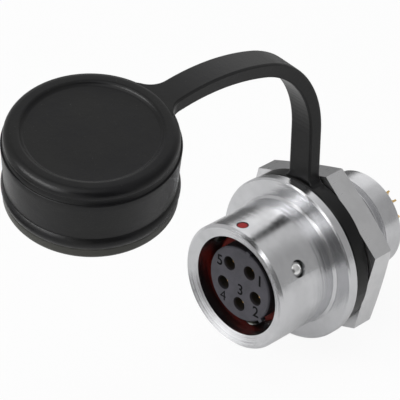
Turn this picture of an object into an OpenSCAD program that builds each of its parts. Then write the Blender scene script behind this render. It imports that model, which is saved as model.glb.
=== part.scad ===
// Panel-mount circular receptacle with five sockets and a tethered sealing cap.
// The plug axis runs along Y and the mating face looks towards -Y.
// The origin is on that axis, in the rear face of the flange.

/* [Shell] */
// Outside diameter of the barrel that the plug slides over
barrel_d = 16.2; // [15:0.1:18]
// Wall of the barrel
barrel_wall = 1.65; // [1.4:0.05:2]
// Length of the barrel in front of the flange
barrel_l = 9.25; // [8:0.05:12]
// Outside diameter of the flange
flange_d = 21.2; // [19:0.1:24]
// Thickness of the flange
flange_t = 1.45; // [1:0.05:2.5]
// Major diameter of the rear thread
thread_d = 14; // [13.5:0.1:15]
// Pitch of the rear thread
thread_pitch = 1; // [0.75:0.25:1.5]
// Length from the flange to the plain end collar
thread_l = 10.5; // [9:0.5:14]
// Length of the plain end collar
collar_l = 2.65; // [1:0.05:3]
// Wall of the plain end collar
collar_wall = 0.85; // [0.7:0.05:1]

/* [Contact block] */
// Depth of the block's face behind the barrel's front
nose_recess = 1.05; // [0.5:0.05:2]
// Diameter of the circle that the sockets stand on
contact_pcd = 5.6; // [5.2:0.1:6]
// Wall of the seal sleeve round the nose
seal_wall = 0.87; // [0.7:0.01:1]
// Distance of the seal sleeve behind the block's face
seal_back = 2.4; // [1:0.1:3]

/* [Contacts] */
// Outside diameter of a contact
contact_d = 1.66; // [1.5:0.01:1.8]
// Diameter of the plug's pin that a socket takes
pin_d = 1; // [0.9:0.05:1.1]
// Length of a solder cup behind the shell's end
cup_reach = 3.4; // [1:0.1:4]

/* [Locking balls] */
// Ball diameter
ball_d = 2.2; // [2:0.05:2.4]
// Distance of the balls behind the barrel's front
ball_back = 3.82; // [3:0.02:5]

/* [Panel nut] */
// Width across the flats
nut_af = 20; // [18.5:0.5:22]
// Nut thickness
nut_t = 3.25; // [2:0.05:4]
// Turn of a corner from straight up
nut_turn = 14.4; // [0:0.2:59.8]

/* [Sealing cap] */
// Wall of the cap round the barrel, at the wall's upper edge
cap_wall = 1.75; // [1.5:0.05:2.2]
// Height of the cap from the middle of its bead to the mouth
cap_h = 9.05; // [8:0.05:12]
// Outside diameter of the tether ring
ring_d = 20.6; // [18:0.1:22]
// Thickness of the tether ring
ring_t = 2.2; // [2:0.1:2.6]
// How far the strap draws the loose ring up off the thread's axis
ring_lift = 0.25; // [0:0.05:0.4]
// Turn of the tether ring round the thread, 0 with the strap straight up
ring_turn = 1.3; // [-180:0.1:180]
// Width of the strap
strap_w = 3.45; // [3:0.05:5]
// Thickness of the strap
strap_t = 1.84; // [1.2:0.02:1.9]
// Straight rise of the strap out of the ring
strap_rise = 8.75; // [6:0.05:14]
// Length of the tight bend at the top of the rise
bend_l = 15.55; // [11:0.05:20]
// Length of the slack run from the bend to the cap
run_l = 13.65; // [10:0.05:26]
// Forward tilt of the cap
cap_pitch = 9; // [0:0.1:20]
// Sideways tilt of the cap, taken up by a twist of the strap
cap_roll = 11.5; // [-15:0.1:15]

/* [Hidden] */
$fn = 96;
// working clearances: loose for slides, close for parts seated in a bore
slide_gap = 0.05;
seat_gap = 0.03;
// overlap of joined solids, and how far a cut runs past a face
eps = 0.01;
past = 1;
// edge break of moulded and turned corners
edge = 0.15;
// turn of the turned faces' seam about the axis
seam_turn = 10;

// stations along the plug axis
front_y = -(flange_t + barrel_l);
end_y = thread_l + collar_l;
face_y = front_y + nose_recess;
web_t = 1.2;
web_ahead = 1.15;
web_front_y = -flange_t - web_ahead;
web_rear_y = web_front_y + web_t;
front_block_l = 4;
split_y = web_rear_y + front_block_l;
rear_block_l = 5.6;
block_end_y = split_y + rear_block_l;
ball_y = front_y + ball_back;
nut_y = seat_gap + ring_t + slide_gap;

// shell
barrel_r = barrel_d / 2;
bore_r = barrel_r - barrel_wall;
flange_r = flange_d / 2;
rim_chamfer = 0.35;
mouth_depth = 0.5;
flange_chamfer = 0.22;
cove = 0.3;

// rear thread with 60 degree flanks, and the collar that the nut passes over
thread_r = thread_d / 2;
thread_depth = 0.61 * thread_pitch;
root_r = thread_r - thread_depth;
flank_w = thread_depth * tan(30);
crest_w = thread_pitch / 8;
half_root_w = (thread_pitch - crest_w) / 2 - flank_w;
neck_l = 1;
collar_gap = 0.04;
collar_r = root_r - collar_gap;
rear_bore_r = collar_r - collar_wall;

// alignment dot, sunk below the barrel's surface
dot_d = 1.5;
dot_depth = 0.25;
dot_sink = 0.08;
dot_gap = 0.01;
dot_back = 1.53;
dot_y = front_y + dot_back;

// ball seats: a straight pocket between a lip at the bore and a staked lip outside
ball_r = ball_d / 2;
ball_angles = [60, 180, 300];
pocket_gap = 0.06;
pocket_r = ball_r + pocket_gap;
inner_lip = 0.08;
inner_lip_r = ball_r - inner_lip;
outer_lip = 0.02;
outer_lip_r = ball_r - outer_lip;
inner_lip_h = 0.08;
outer_lip_h = 0.13;
lip_slope_h = 0.12;
seat_slope_h = 0.2;
ball_play = 0.02;
ball_on_lip = sqrt(pow(ball_r, 2) - pow(inner_lip_r, 2));
ball_low_r = max(barrel_r - 2 * ball_play - ball_r, bore_r + inner_lip_h + ball_on_lip);
ball_rest_r = ball_low_r + ball_play;
inner_lip_top = ball_low_r - ball_on_lip;
outer_lip_base = barrel_r - outer_lip_h - lip_slope_h;

// nose and its seal sleeve: clear of the plug's wall and the balls, and through the web from behind
plug_gap = 0.65;
ball_clear = 0.08;
web_step = 0.3;
seal_room_r = min(bore_r - plug_gap, ball_rest_r - ball_r - ball_clear);
nose_r = min(seal_room_r - seal_wall - seat_gap, rear_bore_r - web_step);
seal_r = nose_r + seat_gap + seal_wall;
seal_lead = 0.25;
web_r = nose_r + slide_gap;

// contact block
body_r = rear_bore_r - seat_gap;
block_edge = 0.2;
oring_r = 0.36;
oring_back = 2;
oring_y = web_rear_y + oring_back;
oring_mid_r = rear_bore_r - oring_r - seat_gap;
groove_w = 1;
groove_r = oring_mid_r - oring_r - seat_gap;
key_w = 1.2;
key_h = 0.5;
key_root = 0.5;
rib_w = 0.6;
rib_h = 0.32;
rib_l = 0.7;
rib_root = 0.3;
rib_angles = [16, 136, 256];
seal_front_y = face_y + seal_back;

// contacts, numbered clockwise from the right of the key
contact_angles = [36, 108, 180, 252, 324];
contact_r = contact_d / 2;
contact_ring_r = contact_pcd / 2;
contact_gap = 0.04;
contact_float = 0.09;
socket_hole_r = contact_r + contact_float;
tip_back = 1.15;
tip_y = face_y + tip_back;
tip_edge = 0.1;
tip_lead = 0.12;
drill_point = 0.3;
socket_l = 5.2;
slot_w = 0.28;
slot_l = 4.2;
shoulder_h = 0.3;
shoulder_r = contact_r + shoulder_h;
shoulder_t = 0.75;
cup_end_y = end_y + cup_reach;
cup_depth = 3.4;
cup_wall = 0.225;
cup_bore_r = contact_r - cup_wall;
cup_cut_l = 2.4;
cup_cut_z = 0.15;

// ring that holds the block in the shell, slotted for a driver
lock_ring_t = 1.6;
lock_ring_clear = 0.7;
lock_ring_in_r = contact_ring_r + contact_r + lock_ring_clear;
lock_slot_w = 1.3;
lock_slot_depth = 0.8;

// nut
nut_bore_r = thread_r + slide_gap;
nut_corner_r = nut_af / 2 / cos(30);
nut_lead = 0.35;
nut_round_h = 0.5;
nut_face_r = nut_af / 2 - edge;

// cap, in its own frame: height 0 in the middle of the bead, mouth downwards
wall_r = barrel_r + cap_wall;
wall_top = -0.96;
wall_taper = 0.3;
bead_in = 0.25;
bead_r = 0.9;
cap_r = wall_r - bead_in;
bead_mid_r = cap_r - bead_r;
rim_top = bead_r - eps;
rim_w = 2.29;
panel_r = cap_r - rim_w;
panel_slope_w = 0.8;
panel_steps = 8;
panel_depth = 0.4;
panel_top = rim_top - panel_depth;
neck_in = 0.62;
neck_r = cap_r - neck_in;
skirt_bead_r = 0.65;
skirt_in = 0.14;
skirt_mid_r = wall_r - skirt_in - skirt_bead_r;
skirt_band_r = skirt_mid_r + skirt_bead_r - 2 * eps;
skirt_h = 3.2;
skirt_high = skirt_h - skirt_bead_r - cap_h;
skirt_low = skirt_bead_r - cap_h;
cavity_squeeze = 0.1;
cavity_r = barrel_r - cavity_squeeze;
cavity_top = -0.9;
cavity_lead = 0.5;
grip_r = 0.35;
grip_sink = 0.1;
grip_mid_r = cavity_r + grip_sink;
grip_up = 2;
grip_h = grip_up - cap_h;

// tether ring
ring_r = ring_d / 2;
ring_play = 0.1;
ring_bore_r = thread_r + ring_lift + ring_play;
ring_rear_y = seat_gap + ring_t;

// strap, swept in the plane X = 0 and twisted towards the cap
strap_inset = 0.04;
strap_y = ring_rear_y - strap_t / 2 - strap_inset;
foot_sink = 1.6;
strap_foot_z = ring_r - foot_sink;
bend_turn = 74.3;
run_turn = 22.8;
tail_l = 4.6;
tail_turn = 90 + cap_pitch - bend_turn - run_turn;
strap_legs = [[strap_rise, 0], [bend_l, bend_turn], [run_l, run_turn], [tail_l, tail_turn]];
strap_len = strap_rise + bend_l + run_l + tail_l;
strap_round = 0.24;
ring_fillet = 1.3;
cap_fillet = 2.6;
cap_fillet_on_r = bead_mid_r + bead_r * cos(45);
cap_shift = -1.28;
strap_step = 0.03;
strap_sink = strap_t / 2 - rim_top + strap_step;
tail_inset = 2.85;
tail_from_cap = cap_r - tail_inset;

// stations along the strap, closer together in the fillets at its ends
foot_fine_l = 3.2;
foot_steps = 14;
strap_steps = 46;
tail_fine_l = 7.5;
tail_steps = 28;
strap_stations = concat(
    [for (i = [0 : foot_steps - 1]) foot_fine_l * i / foot_steps],
    [for (i = [0 : strap_steps - 1])
        foot_fine_l + (strap_len - foot_fine_l - tail_fine_l) * i / strap_steps],
    [for (i = [0 : tail_steps]) strap_len - tail_fine_l * (1 - i / tail_steps)]);

chrome_c = [0.78, 0.78, 0.78];
nut_c = [0.64, 0.64, 0.65];
gold_c = [0.83, 0.66, 0.28];
brass_c = [0.8, 0.65, 0.35];
block_c = [0.27, 0.27, 0.29];
seal_c = [0.35, 0.05, 0.03];
rubber_c = [0.13, 0.13, 0.14];
steel_c = [0.7, 0.7, 0.72];
dot_c = [0.6, 0.05, 0.06];

// turns a profile of [radius, station] points about the plug axis
module turned(profile) {
    rotate([0, seam_turn, 0])
        rotate([-90, 0, 0])
            rotate_extrude()
                polygon(profile);
}

// places children on a circle round the plug axis, angle 0 straight up
module around(angle, radius = 0) {
    rotate([0, angle, 0])
        translate([0, 0, radius])
            children();
}

// a cylinder along the plug axis between two stations
module along(r, y0, y1) {
    translate([0, y0, 0])
        rotate([-90, 0, 0])
            cylinder(r = r, h = y1 - y0, $fn = 48);
}

// crests and roots of the thread, drawn as closed turns
function thread_points(y0, y1) =
    let (turns = floor((y1 - y0) / thread_pitch),
         crest = half_root_w + flank_w)
    [for (i = [0 : turns - 1])
        for (p = [[root_r, half_root_w],
                  [thread_r, crest],
                  [thread_r, crest + crest_w],
                  [root_r, thread_pitch - half_root_w]])
            [p[0], y0 + i * thread_pitch + p[1]]];

module shell() {
    color(chrome_c)
    difference() {
        turned(concat(
            [[barrel_r - rim_chamfer, front_y],
             [barrel_r, front_y + rim_chamfer],
             [barrel_r, -flange_t - cove],
             [barrel_r + cove, -flange_t],
             [flange_r - flange_chamfer, -flange_t],
             [flange_r, -flange_t + flange_chamfer],
             [flange_r, -flange_chamfer],
             [flange_r - flange_chamfer, 0],
             [root_r, 0],
             [root_r, neck_l]],
            thread_points(neck_l, thread_l),
            [[root_r, thread_l - eps],
             [collar_r, thread_l],
             [collar_r, end_y - rim_chamfer],
             [collar_r - rim_chamfer, end_y],
             [rear_bore_r + rim_chamfer / 2, end_y],
             [rear_bore_r, end_y - rim_chamfer / 2],
             [rear_bore_r, web_rear_y],
             [web_r, web_rear_y],
             [web_r, web_front_y],
             [bore_r, web_front_y],
             [bore_r, front_y + mouth_depth]]));
        for (a = ball_angles)
            ball_seat(a);
        translate([0, dot_y, barrel_r - dot_depth])
            cylinder(d = dot_d, h = dot_depth + past, $fn = 48);
        block_key(slide_gap);
    }
}

// the cut that holds one ball
module ball_seat(angle) {
    translate([0, ball_y, 0])
        around(angle)
            rotate_extrude($fn = 48)
                polygon([[0, bore_r - past],
                         [inner_lip_r, bore_r - past],
                         [inner_lip_r, inner_lip_top],
                         [pocket_r, inner_lip_top + seat_slope_h],
                         [pocket_r, outer_lip_base],
                         [outer_lip_r, outer_lip_base + lip_slope_h],
                         [outer_lip_r, barrel_r + past],
                         [0, barrel_r + past]]);
}

// the key that stops the block turning in the shell's web
module block_key(gap = 0) {
    translate([-key_w / 2 - gap, web_front_y - gap, nose_r - key_root])
        cube([key_w + 2 * gap, web_t + 2 * gap, key_root + key_h + gap]);
}

module alignment_dot() {
    color(dot_c)
    translate([0, dot_y, barrel_r - dot_depth])
        cylinder(r = dot_d / 2 - dot_gap, h = dot_depth - dot_sink, $fn = 48);
}

module front_insulator() {
    color(block_c)
    difference() {
        union() {
            turned([[0, face_y],
                    [nose_r - edge, face_y],
                    [nose_r, face_y + edge],
                    [nose_r, web_rear_y],
                    [body_r, web_rear_y],
                    [body_r, oring_y - groove_w / 2],
                    [groove_r, oring_y - groove_w / 2],
                    [groove_r, oring_y + groove_w / 2],
                    [body_r, oring_y + groove_w / 2],
                    [body_r, split_y],
                    [0, split_y]]);
            block_key();
            for (a = rib_angles)
                around(a, nose_r - rib_root)
                    translate([-rib_w / 2, face_y, 0])
                        cube([rib_w, rib_l, rib_root + rib_h]);
        }
        for (a = contact_angles)
            around(a, contact_ring_r) {
                along(socket_hole_r, face_y - past, split_y + past);
                along(shoulder_r + contact_gap, split_y - shoulder_t - contact_gap, split_y + past);
            }
    }
}

module rear_insulator() {
    color(block_c)
    difference() {
        turned([[0, split_y],
                [body_r, split_y],
                [body_r, block_end_y - block_edge],
                [body_r - block_edge, block_end_y],
                [0, block_end_y]]);
        for (a = contact_angles)
            around(a, contact_ring_r)
                along(contact_r + contact_gap, split_y - past, block_end_y + past);
    }
}

module block_o_ring() {
    color(rubber_c)
    translate([0, oring_y, 0])
        rotate([-90, 0, 0])
            rotate_extrude()
                translate([oring_mid_r, 0])
                    circle(r = oring_r, $fn = 32);
}

module block_lock_ring() {
    color(brass_c)
    difference() {
        turned([[lock_ring_in_r, block_end_y],
                [body_r, block_end_y],
                [body_r, block_end_y + lock_ring_t - block_edge],
                [body_r - block_edge, block_end_y + lock_ring_t],
                [lock_ring_in_r, block_end_y + lock_ring_t]]);
        translate([-body_r - past, block_end_y + lock_ring_t - lock_slot_depth, -lock_slot_w / 2])
            cube([2 * (body_r + past), lock_slot_depth + past, lock_slot_w]);
    }
}

module nose_seal() {
    color(seal_c)
    turned([[nose_r + seat_gap, seal_front_y],
            [seal_r - seal_lead, seal_front_y],
            [seal_r, seal_front_y + seal_lead],
            [seal_r, web_front_y - slide_gap],
            [nose_r + seat_gap, web_front_y - slide_gap]]);
}

// one socket contact: slotted tines in front, trapped shoulder, cut-open solder cup behind
module contact(angle) {
    color(gold_c)
    around(angle, contact_ring_r)
        difference() {
            turned([[pin_d / 2 + tip_lead, tip_y],
                    [contact_r - tip_edge, tip_y],
                    [contact_r, tip_y + tip_edge],
                    [contact_r, split_y - shoulder_t],
                    [shoulder_r, split_y - shoulder_t],
                    [shoulder_r, split_y - contact_gap],
                    [contact_r, split_y - contact_gap],
                    [contact_r, cup_end_y],
                    [cup_bore_r, cup_end_y],
                    [cup_bore_r, cup_end_y - cup_depth],
                    [0, cup_end_y - cup_depth - drill_point],
                    [0, tip_y + socket_l + drill_point],
                    [pin_d / 2, tip_y + socket_l],
                    [pin_d / 2, tip_y + tip_lead]]);
            translate([-slot_w / 2, tip_y - past, -contact_r - past])
                cube([slot_w, slot_l + past, 2 * (contact_r + past)]);
            translate([-contact_r - past, cup_end_y - cup_cut_l, cup_cut_z])
                cube([2 * (contact_r + past), cup_cut_l + past, contact_r + past]);
        }
}

module contact_1() { contact(contact_angles[0]); }
module contact_2() { contact(contact_angles[1]); }
module contact_3() { contact(contact_angles[2]); }
module contact_4() { contact(contact_angles[3]); }
module contact_5() { contact(contact_angles[4]); }

module lock_ball(angle) {
    color(steel_c)
    translate([0, ball_y, 0])
        around(angle, ball_rest_r)
            sphere(r = ball_r, $fn = 64);
}

module lock_ball_1() { lock_ball(ball_angles[0]); }
module lock_ball_2() { lock_ball(ball_angles[1]); }
module lock_ball_3() { lock_ball(ball_angles[2]); }

module panel_nut() {
    nut_end_y = nut_y + nut_t;
    color(nut_c)
    difference() {
        intersection() {
            translate([0, nut_y, 0])
                rotate([0, nut_turn, 0])
                    rotate([-90, 0, 0])
                        rotate([0, 0, 90])
                            cylinder(r = nut_corner_r, h = nut_t, $fn = 6);
            turned([[0, nut_y - past],
                    [nut_corner_r + past, nut_y - past],
                    [nut_corner_r + past, nut_end_y - nut_round_h],
                    [nut_face_r, nut_end_y + eps],
                    [0, nut_end_y + eps]]);
        }
        turned([[0, nut_y - past],
                [nut_bore_r + nut_lead + past, nut_y - past],
                [nut_bore_r, nut_y + nut_lead],
                [nut_bore_r, nut_end_y - nut_lead],
                [nut_bore_r + nut_lead + past, nut_end_y + past],
                [0, nut_end_y + past]]);
    }
}

// strap centre line: a point and heading, [y, z, angle from up towards the front]
function leg_end(p, l, turn) =
    turn == 0
        ? [p[0] - l * sin(p[2]), p[1] + l * cos(p[2]), p[2]]
        : let (r = l / (turn * PI / 180))
          [p[0] + r * (cos(p[2] + turn) - cos(p[2])),
           p[1] + r * (sin(p[2] + turn) - sin(p[2])),
           p[2] + turn];

function strap_at(s, p = [strap_y, strap_foot_z, 0], i = 0) =
    let (l = strap_legs[i][0], turn = strap_legs[i][1])
    s <= l || i == len(strap_legs) - 1
        ? leg_end(p, s, turn * s / l)
        : strap_at(s - l, leg_end(p, l, turn), i + 1);

// the strap's twist, which grows from the ring and dies out at the cap
function twist(s) = cap_roll * sin(90 * s / strap_len);

// the soft step from the sunken panel up to the rim
function ease(t) = t * t * (3 - 2 * t);

// an edge at a distance e from a line through a disc's middle, filleted into the disc's rim
function fillet_edge(d, e, r, fillet) =
    let (from = sqrt(pow(r + fillet, 2) - pow(e + fillet, 2)),
         to = from * r / (r + fillet))
    d >= from ? e : e + fillet - sqrt(pow(fillet, 2) - pow(from - max(d, to), 2));

// the strap's reach to one side, filleted into the ring and into the cap, which stands off its line
function half_width(s, shift) =
    max(fillet_edge(strap_foot_z + s - ring_lift, strap_w / 2, ring_r, ring_fillet),
        fillet_edge(tail_from_cap + strap_len - s, strap_w / 2 + shift, cap_fillet_on_r, cap_fillet)
        - shift);

// one cross-section of the strap, a band with eased corners
function strap_section(s) =
    let (p = strap_at(s),
         roll = twist(s),
         out = [0, cos(p[2]), sin(p[2])],
         side_v = [cos(roll), 0, 0] - out * sin(roll),
         out_v = out * cos(roll) + [sin(roll), 0, 0],
         w = half_width(s, -cap_shift),
         v = half_width(s, cap_shift),
         t = strap_t / 2,
         q = strap_round,
         d = strap_round * (1 - cos(45)))
    [for (c = [[w, q - t], [w, t - q], [w - d, t - d], [w - q, t],
               [q - v, t], [d - v, t - d], [-v, t - q], [-v, q - t],
               [d - v, d - t], [q - v, -t], [w - q, -t], [w - d, d - t]])
        [0, p[0], p[1]] + side_v * c[0] + out_v * c[1]];

module strap() {
    rows = [for (s = strap_stations) strap_section(s)];
    n = len(rows[0]);
    last = len(rows) - 1;
    points = [for (r = rows) each r];
    sides = [for (i = [0 : last - 1])
                for (j = [0 : n - 1])
                    let (a = i * n + j, b = i * n + (j + 1) % n)
                    each [[a, b + n, b], [a, a + n, b + n]]];
    foot = [[for (j = [0 : n - 1]) j]];
    tip = [[for (j = [n - 1 : -1 : 0]) last * n + j]];
    polyhedron(points, concat(sides, foot, tip));
}

// a round bead of the cap
module cap_bead(mid_r, r, h) {
    rotate_extrude()
        translate([mid_r, h])
            circle(r = r, $fn = 40);
}

// the outside of the cap: a beaded disc on a plain wall with a thicker skirt
module cap_outside() {
    rotate_extrude()
        polygon([[0, wall_top - edge],
                 [neck_r, wall_top - edge],
                 [neck_r, -bead_r / 2],
                 [bead_mid_r, -bead_r / 2],
                 [bead_mid_r, rim_top],
                 [0, rim_top]]);
    rotate_extrude()
        polygon([[0, wall_top],
                 [wall_r - edge, wall_top],
                 [wall_r, wall_top - edge],
                 [wall_r - wall_taper, skirt_high],
                 [skirt_band_r, skirt_high],
                 [skirt_band_r, skirt_low],
                 [skirt_mid_r, skirt_low],
                 [skirt_mid_r, eps - cap_h],
                 [0, eps - cap_h]]);
    cap_bead(bead_mid_r, bead_r, 0);
    cap_bead(skirt_mid_r, skirt_bead_r, skirt_high);
    cap_bead(skirt_mid_r, skirt_bead_r, skirt_low);
}

// what is cut from the cap: the sunken panel on top and the cavity with its grip bead
module cap_cuts() {
    rotate_extrude()
        polygon(concat(
            [[0, panel_top]],
            [for (i = [0 : panel_steps])
                let (t = i / panel_steps)
                [panel_r + panel_slope_w * t, panel_top + panel_depth * ease(t)]],
            [[panel_r + panel_slope_w, rim_top + past],
             [0, rim_top + past]]));
    difference() {
        rotate_extrude()
            polygon([[0, -cap_h - past],
                     [cavity_r + cavity_lead, -cap_h - past],
                     [cavity_r + cavity_lead, -cap_h],
                     [cavity_r, cavity_lead - cap_h],
                     [cavity_r, cavity_top],
                     [0, cavity_top]]);
        cap_bead(grip_mid_r, grip_r, grip_h);
    }
}

// stands the cap on the end of the strap
module at_cap() {
    tail = strap_at(strap_len);
    up = [sin(cap_roll), -sin(cap_pitch) * cos(cap_roll), cos(cap_pitch) * cos(cap_roll)];
    side = [cos(cap_roll), sin(cap_pitch) * sin(cap_roll), -cos(cap_pitch) * sin(cap_roll)];
    ahead = [0, -cos(cap_pitch), -sin(cap_pitch)];
    translate([0, tail[0], tail[1]] + ahead * tail_from_cap
              + side * cap_shift + up * strap_sink)
        rotate([cap_pitch, 0, 0])
            rotate([0, cap_roll, 0])
                children();
}

module sealing_cap() {
    color(rubber_c)
    rotate([0, ring_turn, 0])
    difference() {
        union() {
            translate([0, 0, ring_lift])
                turned([[ring_bore_r, seat_gap],
                        [ring_r - edge, seat_gap],
                        [ring_r, seat_gap + edge],
                        [ring_r, ring_rear_y - edge],
                        [ring_r - edge, ring_rear_y],
                        [ring_bore_r, ring_rear_y]]);
            strap();
            at_cap()
                cap_outside();
        }
        at_cap()
            cap_cuts();
    }
}

shell();
alignment_dot();
front_insulator();
rear_insulator();
block_o_ring();
block_lock_ring();
nose_seal();
contact_1();
contact_2();
contact_3();
contact_4();
contact_5();
lock_ball_1();
lock_ball_2();
lock_ball_3();
panel_nut();
sealing_cap();
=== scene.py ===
import math

import bmesh
import bpy
from mathutils import Matrix, Vector


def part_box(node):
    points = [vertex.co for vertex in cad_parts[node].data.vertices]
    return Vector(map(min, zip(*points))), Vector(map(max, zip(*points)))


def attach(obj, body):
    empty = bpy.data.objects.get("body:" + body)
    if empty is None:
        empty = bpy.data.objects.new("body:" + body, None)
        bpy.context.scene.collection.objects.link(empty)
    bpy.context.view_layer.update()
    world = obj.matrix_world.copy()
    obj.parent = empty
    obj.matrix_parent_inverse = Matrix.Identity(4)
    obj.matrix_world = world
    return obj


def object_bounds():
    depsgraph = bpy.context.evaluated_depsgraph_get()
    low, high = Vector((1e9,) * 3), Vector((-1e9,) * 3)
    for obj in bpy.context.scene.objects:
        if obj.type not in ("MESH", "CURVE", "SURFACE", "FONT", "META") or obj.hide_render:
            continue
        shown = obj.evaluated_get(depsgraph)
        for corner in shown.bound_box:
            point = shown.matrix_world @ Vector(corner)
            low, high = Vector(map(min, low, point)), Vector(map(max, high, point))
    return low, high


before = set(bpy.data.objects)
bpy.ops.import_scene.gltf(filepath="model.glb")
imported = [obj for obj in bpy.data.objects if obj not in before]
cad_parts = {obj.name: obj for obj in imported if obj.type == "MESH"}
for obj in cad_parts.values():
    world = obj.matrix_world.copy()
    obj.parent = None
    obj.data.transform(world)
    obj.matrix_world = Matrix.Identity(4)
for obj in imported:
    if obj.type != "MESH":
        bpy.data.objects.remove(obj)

cad_low, cad_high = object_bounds()

# Shell
# One brass turning, plated to a satin silver: barrel, flange, rear thread and end collar.
# The tool leaves fine rings on it, round the barrel and across the flat faces alike.

MM = 0.001
SHELL_BRIGHT = (0.640, 0.642, 0.655, 1)
SHELL_DULL = (0.585, 0.587, 0.600, 1)
SHELL_ROUGHNESS = 0.20
SHELL_RING = 0.06 * MM
SHELL_RING_DEPTH = 0.010 * MM
RINGS_IN_BAND = 9
RING_DEPTHS_IN_BAND = 3
PLATE_HAZE = 2.4 * MM
PLATE_SPECK = 0.18 * MM
HAZE_STARTS = 0.35
HAZE_FULL = 0.70


def join(slot, value):
    """Feeds a socket from a wire, or sets it to a constant."""
    if isinstance(value, Wire):
        slot.id_data.links.new(value.socket, slot)
    else:
        slot.default_value = value


class Wire:
    """A shader socket that can be used in sums."""

    def __init__(self, socket):
        self.socket = socket

    def sum(self, operation, first, second):
        made = self.socket.id_data.nodes.new("ShaderNodeMath")
        made.operation = operation
        join(made.inputs[0], first)
        join(made.inputs[1], second)
        return Wire(made.outputs[0])

    def __add__(self, other):
        return self.sum("ADD", self, other)

    def __radd__(self, other):
        return self.sum("ADD", other, self)

    def __sub__(self, other):
        return self.sum("SUBTRACT", self, other)

    def __rsub__(self, other):
        return self.sum("SUBTRACT", other, self)

    def __mul__(self, other):
        return self.sum("MULTIPLY", self, other)

    def __rmul__(self, other):
        return self.sum("MULTIPLY", other, self)

    def __pow__(self, other):
        return self.sum("POWER", self, other)

    def __rpow__(self, other):
        return self.sum("POWER", other, self)


class Finish:
    """A material, or the world: its nodes, and the shader that they feed."""

    def __init__(self, name, kind="materials", shader="Principled BSDF"):
        self.holder = getattr(bpy.data, kind).new(name)
        self.holder.use_nodes = True
        self.tree = self.holder.node_tree
        self.shader = self.tree.nodes[shader]

    def node(self, kind, settings, sockets, out=0):
        made = self.tree.nodes.new("ShaderNode" + kind)
        for key, value in settings.items():
            setattr(made, key, value)
        for key, value in sockets.items():
            join(made.inputs[key], value)
        return Wire(made.outputs[out])

    def place(self):
        return self.node("TexCoord", {}, {}, "Object")

    def axes(self, place):
        split = self.node("SeparateXYZ", {}, {0: place}).socket.node
        return [Wire(split.outputs[axis]) for axis in "XYZ"]

    def noise(self, place, size, detail=2.0):
        sockets = {"Vector": place, "Scale": 1 / size, "Detail": detail}
        return self.node("TexNoise", {}, sockets, "Fac")

    def range(self, value, low, high, to_low=0.0, to_high=1.0):
        sockets = {"Value": value, "From Min": low, "From Max": high,
                   "To Min": to_low, "To Max": to_high}
        return self.node("MapRange", {"interpolation_type": "SMOOTHSTEP"}, sockets)

    def mix(self, share, first, second):
        return self.node("Mix", {"data_type": "RGBA"}, {0: share, 6: first, 7: second}, 2)

    def bump(self, height, depth, normal=None):
        sockets = {"Height": height, "Distance": depth, "Strength": 1.0}
        if normal:
            sockets["Normal"] = normal
        return self.node("Bump", {}, sockets)

    def wear(self, **sockets):
        for key, value in sockets.items():
            label = key.replace("_", " ").title().replace("Ior", "IOR")
            join(self.shader.inputs[label], value)
        return self.holder


def distance(first, second):
    return (first * first + second * second) ** 0.5


def swayed(level, *sways):
    """A level that each noise sways about its middle by the amount beside it."""
    for amount, noise in sways:
        level = level + amount * (noise - 0.5)
    return level


def dress(material, *names):
    for name in names:
        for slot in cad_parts[name].material_slots:
            slot.material = material


def turned_plate(name, bright, dull, roughness, ring, ring_depth):
    """Metal with the rings of the turning tool about the plug axis."""
    finish = Finish(name)
    place = finish.place()
    x, y, z = finish.axes(place)
    track = finish.node("CombineXYZ", {}, {0: distance(x, z), 1: y})
    rings = finish.noise(track, ring, detail=3.0)
    bands = finish.noise(track, RINGS_IN_BAND * ring, detail=1.0)
    haze = finish.noise(place, PLATE_HAZE)
    specks = finish.noise(place, PLATE_SPECK)
    fine = finish.bump(rings, ring_depth)
    return finish.wear(
        base_color=finish.mix(finish.range(haze, HAZE_STARTS, HAZE_FULL), bright, dull),
        metallic=1.0,
        roughness=swayed(roughness, (0.10, bands), (0.10, haze), (0.08, specks)),
        normal=finish.bump(bands, RING_DEPTHS_IN_BAND * ring_depth, fine))


dress(turned_plate("plated_shell", SHELL_BRIGHT, SHELL_DULL, SHELL_ROUGHNESS, SHELL_RING,
                   SHELL_RING_DEPTH), "shell")

# Alignment dot
# A drop of red enamel in a shallow round recess on top of the barrel.
# It cures to a soft gloss, darker where it meets the metal.

ENAMEL_RED = (0.46, 0.016, 0.018, 1)
ENAMEL_EDGE = (0.06, 0.003, 0.004, 1)
EDGE_STARTS = 0.44 * MM
EDGE_FULL = 0.70 * MM
ENAMEL_RIPPLE = 0.3 * MM
ENAMEL_RIPPLE_DEPTH = 0.03 * MM
ENAMEL_ROUGHNESS = 0.30
RIPPLE_ROUGHENS = 0.16


def enamel_drop():
    finish = Finish("red_enamel")
    place = finish.place()
    low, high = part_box("alignment_dot")
    middle = (low + high) / 2
    x, y, _ = finish.axes(place)
    edge = finish.range(distance(x - middle.x, y - middle.y), EDGE_STARTS, EDGE_FULL)
    ripple = finish.noise(place, ENAMEL_RIPPLE)
    return finish.wear(
        base_color=finish.mix(edge, ENAMEL_RED, ENAMEL_EDGE),
        roughness=ENAMEL_ROUGHNESS + RIPPLE_ROUGHENS * ripple,
        specular_ior_level=0.16,
        normal=finish.bump(ripple, ENAMEL_RIPPLE_DEPTH))


dress(enamel_drop(), "alignment_dot")

# Contact block
# Two dark grey mouldings hold the contacts: the numbered front block and the one behind it.
# They have the fine grain of a spark-eroded mould; painted shade darkens the sides and holes.

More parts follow.
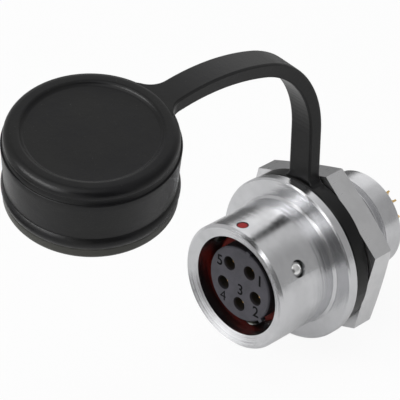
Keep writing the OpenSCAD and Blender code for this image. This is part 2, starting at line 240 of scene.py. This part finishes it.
BLOCK_PALE = (0.048, 0.046, 0.056, 1)
BLOCK_DARK = (0.035, 0.034, 0.041, 1)
BLOCK_PAINTED_SHADE = (0.007, 0.0068, 0.0080, 1)
BLOCK_GRAIN = 0.09 * MM
BLOCK_GRAIN_DEPTH = 0.006 * MM
BLOCK_CLOUD = 1.3 * MM
BLOCK_ROUGHNESS = 0.50
CLOUD_SHARE = 0.6
TONE_STARTS = 0.35
TONE_FULL = 0.65
face_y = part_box("front_insulator")[0].y
# how far behind the face the painted shade starts, is full, and then ends towards the rear
PAINTED_SHADE_STARTS = 0.05 * MM
PAINTED_SHADE_FULL = 0.6 * MM
PAINTED_SHADE_FADES = 8 * MM
PAINTED_SHADE_ENDS = 9 * MM


def moulded_block():
    finish = Finish("insulator")
    place = finish.place()
    y = finish.axes(place)[1]
    grain = finish.noise(place, BLOCK_GRAIN, detail=3.0)
    cloud = finish.noise(place, BLOCK_CLOUD)
    tone = cloud * CLOUD_SHARE + grain * (1 - CLOUD_SHARE)
    colour = finish.mix(finish.range(tone, TONE_STARTS, TONE_FULL), BLOCK_PALE, BLOCK_DARK)
    # painted shade on the sides and in the holes, behind the face
    inside = (finish.range(y, face_y + PAINTED_SHADE_STARTS, face_y + PAINTED_SHADE_FULL)
              * finish.range(y, face_y + PAINTED_SHADE_FADES, face_y + PAINTED_SHADE_ENDS, 1.0, 0.0))
    return finish.wear(
        base_color=finish.mix(inside, colour, BLOCK_PAINTED_SHADE),
        roughness=swayed(BLOCK_ROUGHNESS, (0.2, grain)),
        specular_ior_level=0.3,
        normal=finish.bump(grain, BLOCK_GRAIN_DEPTH))


dress(moulded_block(), "front_insulator", "rear_insulator")

# Contact numbers
# Plain figures 1 to 5, pad-printed in dark ink beside the sockets on the block's face.
# The ink stands a hair proud of the moulding.

INK_BLACK = (0.0012, 0.0012, 0.0012, 1)
INK_GREY = (0.0030, 0.0030, 0.0034, 1)
INK_GRAIN = 0.06 * MM
INK_GRAIN_DEPTH = 0.003 * MM
INK_ROUGHNESS = 0.6
INK_T = 0.012 * MM
NUMBER_H = 1.47 * MM
# a figure's height as a share of its type size
FIGURE_SHARE = 0.72
# each figure: its place across and up the face, and how far its ink spreads, in mm
NUMBERS = {
    "1": (3.36, 1.80, 0.045),
    "2": (2.75, -2.78, 0.030),
    "3": (0.18, -0.76, 0.030),
    "4": (-2.68, -2.78, -0.004),
    "5": (-3.26, 2.01, 0.030),
}


def number_ink():
    finish = Finish("number_ink")
    grain = finish.noise(finish.place(), INK_GRAIN, detail=3.0)
    return finish.wear(
        base_color=finish.mix(grain, INK_BLACK, INK_GREY),
        roughness=swayed(INK_ROUGHNESS, (0.3, grain)),
        specular_ior_level=0.06,
        normal=finish.bump(grain, INK_GRAIN_DEPTH))


def turn(degrees, axis):
    return Matrix.Rotation(math.radians(degrees), 4, axis)


def set_up(name, mesh, material):
    """Makes an object of a finished mesh and puts it in the scene."""
    mesh.materials.clear()
    mesh.materials.append(material)
    made = bpy.data.objects.new(name, mesh)
    bpy.context.scene.collection.objects.link(made)
    return made


ink = number_ink()
for figure, (across, up, spread) in NUMBERS.items():
    letters = bpy.data.curves.new("figure", "FONT")
    letters.body = figure
    letters.size = NUMBER_H / FIGURE_SHARE
    letters.align_x = "CENTER"
    letters.align_y = "CENTER"
    letters.extrude = INK_T
    letters.offset = spread * MM
    sketch = bpy.data.objects.new("figure", letters)
    bpy.context.scene.collection.objects.link(sketch)
    drawn = sketch.evaluated_get(bpy.context.evaluated_depsgraph_get())
    mesh = bpy.data.meshes.new_from_object(drawn)
    bpy.data.objects.remove(sketch)
    mesh.transform(Matrix.Translation((across * MM, face_y, up * MM)) @ turn(90, "X"))
    number = set_up("number_" + figure, mesh, ink)
    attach(number, "receptacle")

# Contacts
# Five turned sockets, plated with gold, with solder cups that stand out of the rear.
# Each has its own fine turning marks along its length.

GOLD_BRIGHT = (0.86, 0.60, 0.24, 1)
GOLD_DULL = (0.74, 0.47, 0.17, 1)
GOLD_RING = 0.05 * MM
GOLD_RING_DEPTH = 0.001 * MM
GOLD_CLOUD = 0.8 * MM
GOLD_ROUGHNESS = 0.24


def gold_plate():
    finish = Finish("gold_contact")
    place = finish.place()
    track = finish.node("CombineXYZ", {}, {1: finish.axes(place)[1]})
    rings = finish.noise(track, GOLD_RING, detail=3.0)
    cloud = finish.noise(place, GOLD_CLOUD)
    return finish.wear(
        base_color=finish.mix(cloud, GOLD_BRIGHT, GOLD_DULL),
        metallic=1.0,
        roughness=swayed(GOLD_ROUGHNESS, (0.12, rings)),
        normal=finish.bump(rings, GOLD_RING_DEPTH))


dress(gold_plate(), "contact_1", "contact_2", "contact_3", "contact_4", "contact_5")

# Lock ring
# A slotted ring of plain brass, screwed in behind the block to hold it in the shell.
# It is turned like the shell and left unplated, so it has dulled a little.

BRASS_BRIGHT = (0.76, 0.56, 0.25, 1)
BRASS_DULL = (0.62, 0.43, 0.18, 1)
BRASS_ROUGHNESS = 0.32
BRASS_RING = 0.09 * MM
BRASS_RING_DEPTH = 0.002 * MM

dress(turned_plate("plain_brass", BRASS_BRIGHT, BRASS_DULL, BRASS_ROUGHNESS, BRASS_RING,
                   BRASS_RING_DEPTH), "block_lock_ring")

# Nose seal
# A sleeve of dark red silicone, moulded and pushed over the block's nose.
# The plug's wall slides over it, so it is smooth, with a soft sheen and no dust.

SILICONE_PALE = (0.120, 0.0065, 0.003, 1)
SILICONE_DARK = (0.080, 0.0045, 0.0025, 1)
SILICONE_GRAIN = 0.12 * MM
SILICONE_GRAIN_DEPTH = 0.006 * MM
SILICONE_CLOUD = 1.6 * MM
SILICONE_ROUGHNESS = 0.46


def red_silicone():
    finish = Finish("red_silicone")
    place = finish.place()
    grain = finish.noise(place, SILICONE_GRAIN)
    cloud = finish.noise(place, SILICONE_CLOUD)
    return finish.wear(
        base_color=finish.mix(cloud, SILICONE_PALE, SILICONE_DARK),
        roughness=swayed(SILICONE_ROUGHNESS, (0.2, grain)),
        specular_ior_level=0.12,
        normal=finish.bump(grain, SILICONE_GRAIN_DEPTH))


dress(red_silicone(), "nose_seal")

# Locking balls
# Three hardened steel balls, ground and polished, that snap into the plug's sleeve.
# Each is held in its seat by the lip staked over it, scuffed outside, with painted shade in the
# bore.

STEEL_BRIGHT = (0.84, 0.84, 0.83, 1)
STEEL_DULL = (0.70, 0.70, 0.70, 1)
# the colour of the painted shade on the balls inside the bore
PAINTED_BORE_SHADE = (0.020, 0.021, 0.017, 1)
# distances from the plug axis where the painted shade is full and where it ends
PAINTED_BORE_SHADE_FULL = 6.3 * MM
PAINTED_BORE_SHADE_ENDS = 6.9 * MM
SCUFF = 0.25 * MM
SCUFF_DEPTH = 0.0008 * MM
STEEL_ROUGHNESS = 0.16
SCUFF_ROUGHENS = 0.10
PAINTED_BORE_SHADE_ROUGHENS = 0.30


def polished_steel():
    finish = Finish("steel_ball")
    place = finish.place()
    x, _, z = finish.axes(place)
    scuff = finish.noise(place, SCUFF, detail=3.0)
    # painted shade: darker and rougher towards the plug axis, inside the bore
    painted_bore_shade = finish.range(distance(x, z), PAINTED_BORE_SHADE_FULL, PAINTED_BORE_SHADE_ENDS, 1.0, 0.0)
    return finish.wear(
        base_color=finish.mix(painted_bore_shade, finish.mix(scuff, STEEL_BRIGHT, STEEL_DULL), PAINTED_BORE_SHADE),
        metallic=1.0,
        roughness=STEEL_ROUGHNESS + SCUFF_ROUGHENS * scuff + PAINTED_BORE_SHADE_ROUGHENS * painted_bore_shade,
        normal=finish.bump(scuff, SCUFF_DEPTH))


dress(polished_steel(), "lock_ball_1", "lock_ball_2", "lock_ball_3")

# Rubber
# The tether ring, strap and cap are one moulding of soft black rubber, and the ring on the
# block is of the same kind. It has a matte mould grain, a faint olive bloom and a little dust.
# The skin of the cap's head is turned here, with its crease, rolled edge and mouth bead.
# Its mouth's lower lip is painted paler, a painted reflection of the floor.

RUBBER_BLACK = (0.0018, 0.0018, 0.0026, 1)
RUBBER_BLOOM = (0.0038, 0.0038, 0.0037, 1)
RUBBER_DUST = (0.040, 0.040, 0.036, 1)
RUBBER_PAINTED_REFLECTION = (0.040, 0.040, 0.034, 1)
RUBBER_SHEEN = (1.0, 1.0, 0.93, 1)
RUBBER_GRAIN = 0.13 * MM
RUBBER_GRAIN_DEPTH = 0.010 * MM
RUBBER_SWELL = 1.1 * MM
RUBBER_SWELL_DEPTH = 0.015 * MM
RUBBER_CLOUD = 6 * MM
BLOOM_STARTS = 0.3
BLOOM_FULL = 0.7
RUBBER_MOTE = 0.22 * MM
MOTES_START = 0.74
MOTES_FULL = 0.80
DUST_SHARE = 0.7
RUBBER_ROUGHNESS = 0.33
# how much of the painted reflection's colour the lip takes
PAINTED_REFLECTION_SHARE = 0.85
# where the painted reflection on the lip ends on the cap's axis, how far that line wanders and
# its half width
PAINTED_REFLECTION_TOP = -7.5 * MM
PAINTED_REFLECTION_WANDERS = 0.5 * MM
PAINTED_REFLECTION_FADES = 0.25 * MM
# where the cap hangs on its strap, and how it is turned, in degrees
CAP_AT = Vector((-0.593, -32.269, 28.641)) * MM
CAP_SWING = 1.3
CAP_PITCH = 9
CAP_ROLL = 11.5
CAP_STANDS = (Matrix.Translation(CAP_AT) @ turn(CAP_SWING, "Y") @ turn(CAP_PITCH, "X")
              @ turn(CAP_ROLL, "Y"))


def black_rubber(name, painted_lip):
    """Rubber with its mould grain, and on the cap's head a lip painted paler, a painted
    reflection.
    """
    finish = Finish(name)
    place = finish.place()
    grain = finish.noise(place, RUBBER_GRAIN, detail=3.0)
    swell = finish.noise(place, RUBBER_SWELL)
    bloom = finish.noise(place, RUBBER_CLOUD)
    motes = finish.noise(place, RUBBER_MOTE, detail=1.0)
    bloomed = finish.range(bloom, BLOOM_STARTS, BLOOM_FULL)
    colour = finish.mix(bloomed, RUBBER_BLACK, RUBBER_BLOOM)
    dusty = finish.range(motes, MOTES_START, MOTES_FULL, 0.0, DUST_SHARE)
    colour = finish.mix(dusty, colour, RUBBER_DUST)
    # painted reflection of the floor: the mouth's lower lip is made paler
    if painted_lip:
        x, y, z = finish.axes(place)
        axis = CAP_STANDS.to_3x3() @ Vector((0, 0, 1))
        height = x * axis.x + y * axis.y + z * axis.z - CAP_AT.dot(axis)
        painted_reflection = finish.range(swayed(height, (PAINTED_REFLECTION_WANDERS, swell)), PAINTED_REFLECTION_TOP - PAINTED_REFLECTION_FADES,
                             PAINTED_REFLECTION_TOP + PAINTED_REFLECTION_FADES, PAINTED_REFLECTION_SHARE, 0.0)
        colour = finish.mix(painted_reflection, colour, RUBBER_PAINTED_REFLECTION)
    fine = finish.bump(grain, RUBBER_GRAIN_DEPTH)
    return finish.wear(
        base_color=colour,
        roughness=swayed(RUBBER_ROUGHNESS, (0.18, grain), (0.10, bloom)),
        specular_ior_level=0.25,
        sheen_weight=0.05, sheen_roughness=0.35, sheen_tint=RUBBER_SHEEN,
        normal=finish.bump(swell, RUBBER_SWELL_DEPTH, fine))


dress(black_rubber("black_rubber", False), "sealing_cap", "block_o_ring")

# The head's outline, from the middle of its top to its inside, in mm from the cap's axis and from
# the middle of the disc's bead: points to draw on to, or arcs with their middle, turn and steps.
PANEL_TOP = 0.505
PANEL = ((2.4, PANEL_TOP), (4.8, PANEL_TOP), (7.31, PANEL_TOP))
PANEL_EDGE = ((7.31, 1.005, -53.13, 8), (8.11, 0.405, 53.13, 8))
DISC_BEAD = ((8.71, 0.905), (8.71, 0.0, 102, 20))
CREASE = ((9.572, -0.235), (9.585, -0.30), (9.66, -0.85), (9.69, -0.88))
ROLLED_EDGE = ((9.765, -0.965, 131.4, 10),)
WALL = ((9.8265, -1.75), (9.783, -2.50), (9.725, -3.50), (9.667, -4.50), (9.6235, -5.25),
        (9.58, -6.00))
MOUTH_BEAD = ((9.575, -6.03), (9.60, -6.06), (8.70, -6.86, 76, 18), (9.725, -7.62),
              (9.73, -7.72), (9.73, -8.40), (9.06, -8.40, 90, 14))
INSIDE = ((8.52, -9.07), (8.70, -8.80), (8.90, -8.20), (8.90, -0.60), (8.50, 0.10), (0.0, 0.10))
SPIN_STEPS = 192
WELD = 0.0002 * MM


def draw_on(bm, radius, height, degrees=0, steps=0):
    """Draws the outline on to a point, or turns its end about it, clockwise if positive."""
    point = Vector((radius, 0, height)) * MM
    last = bm.verts[-1]
    if degrees:
        bmesh.ops.spin(bm, geom=[last], cent=point, axis=(0, 1, 0), angle=math.radians(degrees),
                       steps=steps)
    else:
        bm.edges.new((last, bm.verts.new(point)))
    bm.verts.ensure_lookup_table()


bm = bmesh.new()
bm.verts.new((0, 0, PANEL_TOP * MM))
bm.verts.ensure_lookup_table()
for step in PANEL + PANEL_EDGE + DISC_BEAD + CREASE + ROLLED_EDGE + WALL + MOUTH_BEAD + INSIDE:
    draw_on(bm, *step)
bmesh.ops.spin(bm, geom=bm.verts[:] + bm.edges[:], cent=(0, 0, 0), axis=(0, 0, 1),
               angle=2 * math.pi, steps=SPIN_STEPS, use_merge=True)
bmesh.ops.remove_doubles(bm, verts=bm.verts, dist=WELD)
bmesh.ops.transform(bm, verts=bm.verts, matrix=CAP_STANDS)
bmesh.ops.recalc_face_normals(bm, faces=bm.faces)
head_mesh = bpy.data.meshes.new("cap_head")
bm.to_mesh(head_mesh)
bm.free()
head_mesh.shade_smooth()
head = set_up("cap_head", head_mesh, black_rubber("black_rubber_head", True))
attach(head, "tether")

# Panel nut
# A hexagon nut cut from bar, plated a little duller than the shell.
# Fine draw lines run along the flats.

NUT_BRIGHT = (0.700, 0.700, 0.708, 1)
NUT_DULL = (0.650, 0.650, 0.658, 1)
DRAW_LINE = 0.07 * MM
DRAW_DEPTH = 0.0022 * MM
# the share that the bar's length is squeezed to, which draws the noise out into lines
DRAW_SQUEEZE = 0.04
NUT_HAZE = 2.0 * MM
NUT_ROUGHNESS = 0.30


def drawn_plate():
    finish = Finish("plated_nut")
    place = finish.place()
    x, y, z = finish.axes(place)
    lines = finish.node("CombineXYZ", {}, {0: x, 1: y * DRAW_SQUEEZE, 2: z})
    draw = finish.noise(lines, DRAW_LINE)
    haze = finish.noise(place, NUT_HAZE)
    return finish.wear(
        base_color=finish.mix(finish.range(haze, HAZE_STARTS, HAZE_FULL), NUT_BRIGHT, NUT_DULL),
        metallic=1.0,
        roughness=swayed(NUT_ROUGHNESS, (0.08, draw), (0.08, haze)),
        normal=finish.bump(draw, DRAW_DEPTH))


dress(drawn_plate(), "panel_nut")

# Floor and light
# A white paper floor under three soft lamps and a fill from the world.
# The floor shows as white to the camera and keeps its soft shadow. Polished metal sees the lit
# paper and painted reflections: a glowing dome with brighter and darker patches, and glowing
# cards that give it edges, all seen only in reflections.

FLOOR_HALF = 1.5
FLOOR_PALE = (0.86, 0.86, 0.86, 1)
FLOOR_GREY = (0.84, 0.84, 0.84, 1)
FLOOR_FIBRE = 3 * MM
FLOOR_SHOWN = 0.93
FLOOR_MIRRORED = 0.25
WORLD_FILL = 0.32
WHITE = (1, 1, 1, 1)


def rays(finish, *kinds):
    """1 for rays of the kinds that are named, and 0 for others."""
    path = finish.node("LightPath", {}, {}).socket.node
    total = Wire(path.outputs[kinds[0]])
    for kind in kinds[1:]:
        total = total + Wire(path.outputs[kind])
    return total.sum("MINIMUM", total, 1.0)


def glow(finish, colour):
    return finish.node("Emission", {}, {"Color": colour, "Strength": 1.0})


def cover(finish, shader):
    """Puts a shader on the surface in place of the finish's own."""
    join(finish.tree.nodes["Material Output"].inputs["Surface"], shader)


def staged(name, bm, material):
    mesh = bpy.data.meshes.new(name)
    bm.to_mesh(mesh)
    bm.free()
    made = set_up(name, mesh, material)
    return made


paper = Finish("floor_paper")
fibre = paper.noise(paper.place(), FLOOR_FIBRE)
paper.wear(base_color=paper.mix(fibre, FLOOR_PALE, FLOOR_GREY), roughness=0.9)
shown = (FLOOR_SHOWN * rays(paper, "Is Camera Ray")
         + FLOOR_MIRRORED * rays(paper, "Is Glossy Ray", "Is Transmission Ray"))
lit_by_lamps = Wire(paper.shader.outputs[0])
cover(paper, paper.node("MixShader", {}, {0: shown, 1: lit_by_lamps, 2: glow(paper, WHITE)}))
bm = bmesh.new()
bmesh.ops.create_grid(bm, x_segments=1, y_segments=1, size=FLOOR_HALF)
bmesh.ops.translate(bm, verts=bm.verts, vec=(0, 0, cad_low.z))
staged("floor", bm, paper.holder)

sky = Finish("studio", "worlds", "Background")
bpy.context.scene.world = sky.holder
direct = rays(sky, "Is Camera Ray", "Is Glossy Ray", "Is Transmission Ray")
sky.wear(color=WHITE, strength=WORLD_FILL + (1 - WORLD_FILL) * direct)

DOME_RADIUS = 0.9
DOME_SEGMENTS = 48
DOME_RINGS = 24
DOME_GREY = (0.60, 0.60, 0.60, 1)
# each painted reflection patch: direction, the cosines where it is full and where it ends, and
# its brightness
PAINTED_REFLECTION_PATCHES = (
    ((0.0, 0.62, 0.78), 0.94, 0.75, 0.70),
    ((-0.50, 0.615, 0.61), 0.975, 0.87, 1.05),
    ((0.74, 0.615, 0.27), 0.95, 0.70, 0.44),
    ((-0.788, 0.615, 0.03), 0.985, 0.90, 0.14),
    ((0.0, -0.615, 0.787), 0.95, 0.84, 1.60),
    ((0.74, -0.62, 0.22), 0.96, 0.86, 0.12),
)


def only_mirrored(made):
    made.visible_camera = False
    made.visible_diffuse = False
    made.visible_transmission = False
    made.visible_volume_scatter = False
    made.visible_shadow = False


# painted reflections: a glowing dome round the stage, seen only in reflections
reflection_dome = Finish("painted_reflection_dome_glow")
towards = reflection_dome.node("VectorMath", {"operation": "NORMALIZE"}, {0: reflection_dome.place()})
tone = DOME_GREY
for direction, inner, outer, level in PAINTED_REFLECTION_PATCHES:
    aim = Vector(direction).normalized()
    facing = reflection_dome.node("VectorMath", {"operation": "DOT_PRODUCT"}, {0: towards, 1: aim}, "Value")
    tone = reflection_dome.mix(reflection_dome.range(facing, outer, inner), tone, (level, level, level, 1))
cover(reflection_dome, glow(reflection_dome, tone))
bm = bmesh.new()
bmesh.ops.create_uvsphere(bm, u_segments=DOME_SEGMENTS, v_segments=DOME_RINGS, radius=DOME_RADIUS)
bmesh.ops.reverse_faces(bm, faces=bm.faces)
only_mirrored(staged("painted_reflection_dome", bm, reflection_dome.holder))

CARD_CLOUD = 4 * MM
CARD_UNEVEN = 0.24
# each glowing card, a painted reflection: where its middle stands on the floor, its half width,
# its height and its brightness
REFLECTION_CARDS = {
    "dark_reflection_left": ((-0.067, 0.052), 0.040, 0.026, 0.16),
    "dark_reflection_right": ((0.066, -0.053), 0.035, 0.034, 0.16),
    "dark_reflection_by_cap": ((-0.040, -0.060), 0.024, 0.024, 0.16),
    "dark_reflection_front": ((-0.0030, -0.0340), 0.0065, 0.009, 0.06),
    "bright_reflection_card": ((-0.0138, -0.0325), 0.0045, 0.0075, 1.50),
}
for name, ((across, along), half, height, tone) in REFLECTION_CARDS.items():
    # painted reflection: the card glows and only reflections see it
    card = Finish(name)
    shade = tone * swayed(1.0, (CARD_UNEVEN, card.noise(card.place(), CARD_CLOUD)))
    cover(card, glow(card, card.node("CombineColor", {}, {0: shade, 1: shade, 2: shade})))
    bm = bmesh.new()
    bmesh.ops.create_grid(bm, x_segments=1, y_segments=1, size=1.0)
    upright = turn(90, "X") @ Matrix.Diagonal((half, height / 2, 1, 1))
    faces_part = turn(math.degrees(math.atan2(along, across)) + 90, "Z")
    bmesh.ops.transform(bm, verts=bm.verts, matrix=faces_part @ upright)
    bmesh.ops.translate(bm, verts=bm.verts, vec=(across, along, cad_low.z + height / 2))
    only_mirrored(staged(name, bm, card.holder))

# each lamp: where it hangs, what it faces, its width and height, its watts, and if metal sees it
LAMPS = {
    "key": ((-0.15, -0.66, 0.32), (0, -0.02, 0.01), (0.56, 0.26), 3.6, True),
    "low_box": ((0.04, -0.60, 0.09), (0, -0.01, 0.0), (0.26, 0.16), 0.45, True),
    "top": ((-0.05, 0.05, 0.80), (0, 0, 0), (0.60, 0.60), 1.9, False),
}
for name, (place, target, (width, height), watts, mirrored) in LAMPS.items():
    lamp = bpy.data.lights.new(name, "AREA")
    lamp.shape = "RECTANGLE"
    lamp.size = width
    lamp.size_y = height
    lamp.energy = watts
    holder = bpy.data.objects.new(name, lamp)
    bpy.context.scene.collection.objects.link(holder)
    holder.location = place
    holder.rotation_euler = (Vector(target) - Vector(place)).to_track_quat("-Z", "Y").to_euler()
    holder.visible_glossy = mirrored

# Camera
# A long lens from the front right and half above, at the angle of a catalogue picture.
# The camera stands level, and everything is in focus.

CAMERA_AT = (0.1546, -0.1721, 0.1408)
CAMERA_LOOKS = (-0.6105, 0.6151, -0.4990)
LENS = 198.0
SENSOR = 36.0
NEAREST = 0.01

camera_data = bpy.data.cameras.new("camera")
camera_data.lens = LENS
camera_data.sensor_width = SENSOR
camera_data.sensor_fit = "HORIZONTAL"
camera_data.clip_start = NEAREST
camera = bpy.data.objects.new("camera", camera_data)
bpy.context.scene.collection.objects.link(camera)
camera.location = CAMERA_AT
camera.rotation_euler = Vector(CAMERA_LOOKS).to_track_quat("-Z", "Y").to_euler()
bpy.context.scene.camera = camera
bpy.context.scene.view_settings.view_transform = "Standard"
